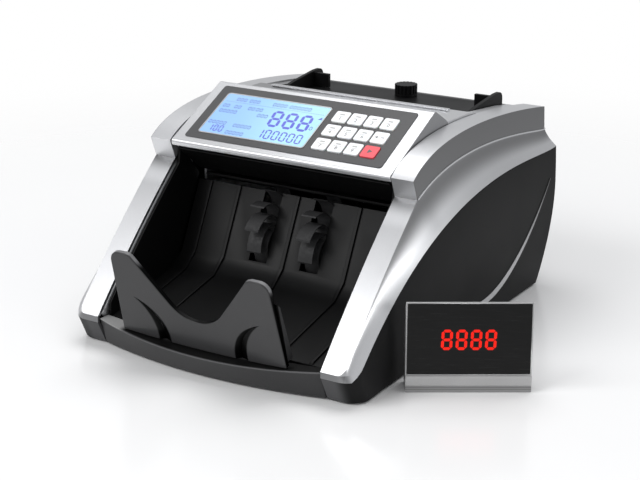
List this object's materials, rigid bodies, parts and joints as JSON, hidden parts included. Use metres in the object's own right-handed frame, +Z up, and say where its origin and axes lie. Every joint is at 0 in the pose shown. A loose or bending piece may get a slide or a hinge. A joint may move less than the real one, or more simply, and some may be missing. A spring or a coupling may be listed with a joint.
{
  "type": "banknote counting machine",
  "caption": "Desktop note counter with a sloped display and keypad console, rear hopper, front stacker pocket and gate, and a separate customer display.",
  "frame": {"origin": "on the desk under the middle of the machine, on the plane of the rubber feet", "axes": "+X to the right seen from the front, +Y to the back, +Z up"},
  "size_m": [0.3223, 0.329, 0.1645],
  "materials": {
    "black_pan": "black powder coat",
    "foot_rubber": "matt rubber",
    "dark_grey_plastic": "satin dark grey",
    "silver_paint": "silver metallic paint under clear coat",
    "black_panel": "satin black",
    "stripe_silver": "silver paint",
    "overlay_film": "dark grey printed film",
    "lcd_glass": "backlit display glass",
    "lcd_module": "display module",
    "green_board": "solder mask",
    "key_white": "white key",
    "key_red": "red key",
    "gate_plastic": "satin dark grey",
    "pocket_black": "satin black",
    "lip_silver": "silver metallic paint",
    "guide_black": "black",
    "socket_black": "black with bare pins",
    "switch_red": "red rocker",
    "handle_black": "black",
    "plate_steel": "zinc plated sheet",
    "rod_steel": "turned steel",
    "pickup_rubber": "orange rubber tyre",
    "feed_rubber": "black rubber tyre",
    "fan_rubber": "black blades",
    "pinch_alloy": "turned",
    "motor_steel": "zinc can",
    "belt_rubber": "belt",
    "bearing_brass": "sintered bush",
    "supply_board": "paper board with parts",
    "screw_steel": "zinc",
    "case_silver": "silver paint",
    "black_acrylic": "dark window"
  },
  "bodies": {
    "machine": {"base_pan": "black_pan", "rubber_feet": "foot_rubber", "front_fascia": "dark_grey_plastic", "side_shell_left": "silver_paint", "side_shell_right": "silver_paint", "side_panel_left": "black_panel", "side_panel_right": "black_panel", "side_stripes": "stripe_silver", "console_housing": "silver_paint", "keypad_overlay": "overlay_film", "display_window": "lcd_glass", "display_module": "lcd_module", "console_board": "green_board", "stacker_gate": "gate_plastic", "stacker_deck": "pocket_black", "pocket_wall_left": "pocket_black", "pocket_wall_right": "pocket_black", "transport_guides": "pocket_black", "hopper_tray": "pocket_black", "hopper_lip": "lip_silver", "rear_panel": "black_panel", "power_inlet": "socket_black", "display_socket": "socket_black", "frame_left": "plate_steel", "frame_right": "plate_steel", "tie_rods": "rod_steel", "drive_motor": "motor_steel", "drive_belts": "belt_rubber", "bearings": "bearing_brass", "main_board": "green_board", "power_supply": "supply_board", "cover_screws": "screw_steel"},
    "body_key_1": {"key_1": "key_white"},
    "body_key_2": {"key_2": "key_white"},
    "body_key_3": {"key_3": "key_white"},
    "body_key_0": {"key_0": "key_white"},
    "body_key_4": {"key_4": "key_white"},
    "body_key_5": {"key_5": "key_white"},
    "body_key_6": {"key_6": "key_white"},
    "body_key_batch": {"key_batch": "key_white"},
    "body_key_7": {"key_7": "key_white"},
    "body_key_8": {"key_8": "key_white"},
    "body_key_9": {"key_9": "key_white"},
    "body_key_start": {"key_start": "key_red"},
    "guide_left": {"note_guide_left": "guide_black"},
    "guide_right": {"note_guide_right": "guide_black"},
    "cover": {"rear_cover": "dark_grey_plastic"},
    "rocker": {"power_switch": "switch_red"},
    "knob": {"gap_knob": "guide_black"},
    "handle": {"carry_handle": "handle_black"},
    "pickup": {"pickup_shaft": "rod_steel", "pickup_rollers": "pickup_rubber"},
    "feed": {"feed_shaft": "rod_steel", "feed_rollers": "feed_rubber"},
    "stacker": {"stacker_shaft": "rod_steel", "stacker_wheels": "fan_rubber"},
    "pinch": {"pinch_rollers": "pinch_alloy"},
    "motor_rotor": {"motor_pulley": "rod_steel"},
    "customer_display": {"external_display_case": "case_silver", "external_display_face": "black_acrylic"}
  },
  "joints": [
    {"name": "key_1_press", "type": "slide", "parent": "machine", "child": "body_key_1", "axis": [0, 0.4462, -0.8949], "range_m": [0, 0.001], "stiffness_N_per_m": 300, "springref_m": -0.0005},
    {"name": "key_2_press", "type": "slide", "parent": "machine", "child": "body_key_2", "axis": [0, 0.4462, -0.8949], "range_m": [0, 0.001], "stiffness_N_per_m": 300, "springref_m": -0.0005},
    {"name": "key_3_press", "type": "slide", "parent": "machine", "child": "body_key_3", "axis": [0, 0.4462, -0.8949], "range_m": [0, 0.001], "stiffness_N_per_m": 300, "springref_m": -0.0005},
    {"name": "key_0_press", "type": "slide", "parent": "machine", "child": "body_key_0", "axis": [0, 0.4462, -0.8949], "range_m": [0, 0.001], "stiffness_N_per_m": 300, "springref_m": -0.0005},
    {"name": "key_4_press", "type": "slide", "parent": "machine", "child": "body_key_4", "axis": [0, 0.4462, -0.8949], "range_m": [0, 0.001], "stiffness_N_per_m": 300, "springref_m": -0.0005},
    {"name": "key_5_press", "type": "slide", "parent": "machine", "child": "body_key_5", "axis": [0, 0.4462, -0.8949], "range_m": [0, 0.001], "stiffness_N_per_m": 300, "springref_m": -0.0005},
    {"name": "key_6_press", "type": "slide", "parent": "machine", "child": "body_key_6", "axis": [0, 0.4462, -0.8949], "range_m": [0, 0.001], "stiffness_N_per_m": 300, "springref_m": -0.0005},
    {"name": "key_batch_press", "type": "slide", "parent": "machine", "child": "body_key_batch", "axis": [0, 0.4462, -0.8949], "range_m": [0, 0.001], "stiffness_N_per_m": 300, "springref_m": -0.0005},
    {"name": "key_7_press", "type": "slide", "parent": "machine", "child": "body_key_7", "axis": [0, 0.4462, -0.8949], "range_m": [0, 0.001], "stiffness_N_per_m": 300, "springref_m": -0.0005},
    {"name": "key_8_press", "type": "slide", "parent": "machine", "child": "body_key_8", "axis": [0, 0.4462, -0.8949], "range_m": [0, 0.001], "stiffness_N_per_m": 300, "springref_m": -0.0005},
    {"name": "key_9_press", "type": "slide", "parent": "machine", "child": "body_key_9", "axis": [0, 0.4462, -0.8949], "range_m": [0, 0.001], "stiffness_N_per_m": 300, "springref_m": -0.0005},
    {"name": "key_start_press", "type": "slide", "parent": "machine", "child": "body_key_start", "axis": [0, 0.4462, -0.8949], "range_m": [0, 0.001], "stiffness_N_per_m": 300, "springref_m": -0.0005},
    {"name": "feed_spin", "type": "hinge", "parent": "machine", "child": "feed", "pos_m": [0, 0.006, 0.112], "axis": [1, 0, 0], "continuous": true},
    {"name": "pickup_spin", "type": "hinge", "parent": "machine", "child": "pickup", "pos_m": [0, 0.042, 0.127], "axis": [1, 0, 0], "continuous": true},
    {"name": "stacker_spin", "type": "hinge", "parent": "machine", "child": "stacker", "pos_m": [0, -0.03, 0.07001], "axis": [1, 0, 0], "continuous": true},
    {"name": "pinch_spin", "type": "hinge", "parent": "machine", "child": "pinch", "pos_m": [0, 0.0253, 0.0927], "axis": [1, 0, 0], "continuous": true},
    {"name": "motor_spin", "type": "hinge", "parent": "machine", "child": "motor_rotor", "pos_m": [0, 0.055, 0.042], "axis": [1, 0, 0], "continuous": true},
    {"name": "guide_left_slide", "type": "slide", "parent": "machine", "child": "guide_left", "axis": [1, 0, 0], "range_m": [0, 0.022]},
    {"name": "guide_right_slide", "type": "slide", "parent": "machine", "child": "guide_right", "axis": [-1, 0, 0], "range_m": [0, 0.022]},
    {"name": "gap_knob_turn", "type": "hinge", "parent": "machine", "child": "knob", "pos_m": [0, 0.13, 0.1396], "axis": [0, 0, 1], "range_deg": [-180, 180]},
    {"name": "power_rocker", "type": "hinge", "parent": "machine", "child": "rocker", "pos_m": [0.028, 0.1445, 0.045], "axis": [1, 0, 0], "range_deg": [0, 14]},
    {"name": "rear_cover_hinge", "type": "hinge", "parent": "machine", "child": "cover", "pos_m": [0, 0.1525, 0.068], "axis": [-1, 0, 0], "range_deg": [0, 95]},
    {"name": "handle_hinge", "type": "hinge", "parent": "machine", "child": "handle", "pos_m": [0, 0.153, 0.052], "axis": [1, 0, 0], "range_deg": [0, 95]},
    {"name": "customer_display_slide", "type": "slide", "parent": "machine", "child": "customer_display", "axis": [0.848, 0.5299, 0], "range_m": [0, 0.06]}
  ],
  "couplings": [
    {"joint": "motor_spin", "follows": "feed_spin", "ratio": 2.25},
    {"joint": "stacker_spin", "follows": "feed_spin", "ratio": 1.1111},
    {"joint": "pickup_spin", "follows": "feed_spin", "ratio": 1},
    {"joint": "pinch_spin", "follows": "feed_spin", "ratio": -2.8571}
  ]
}
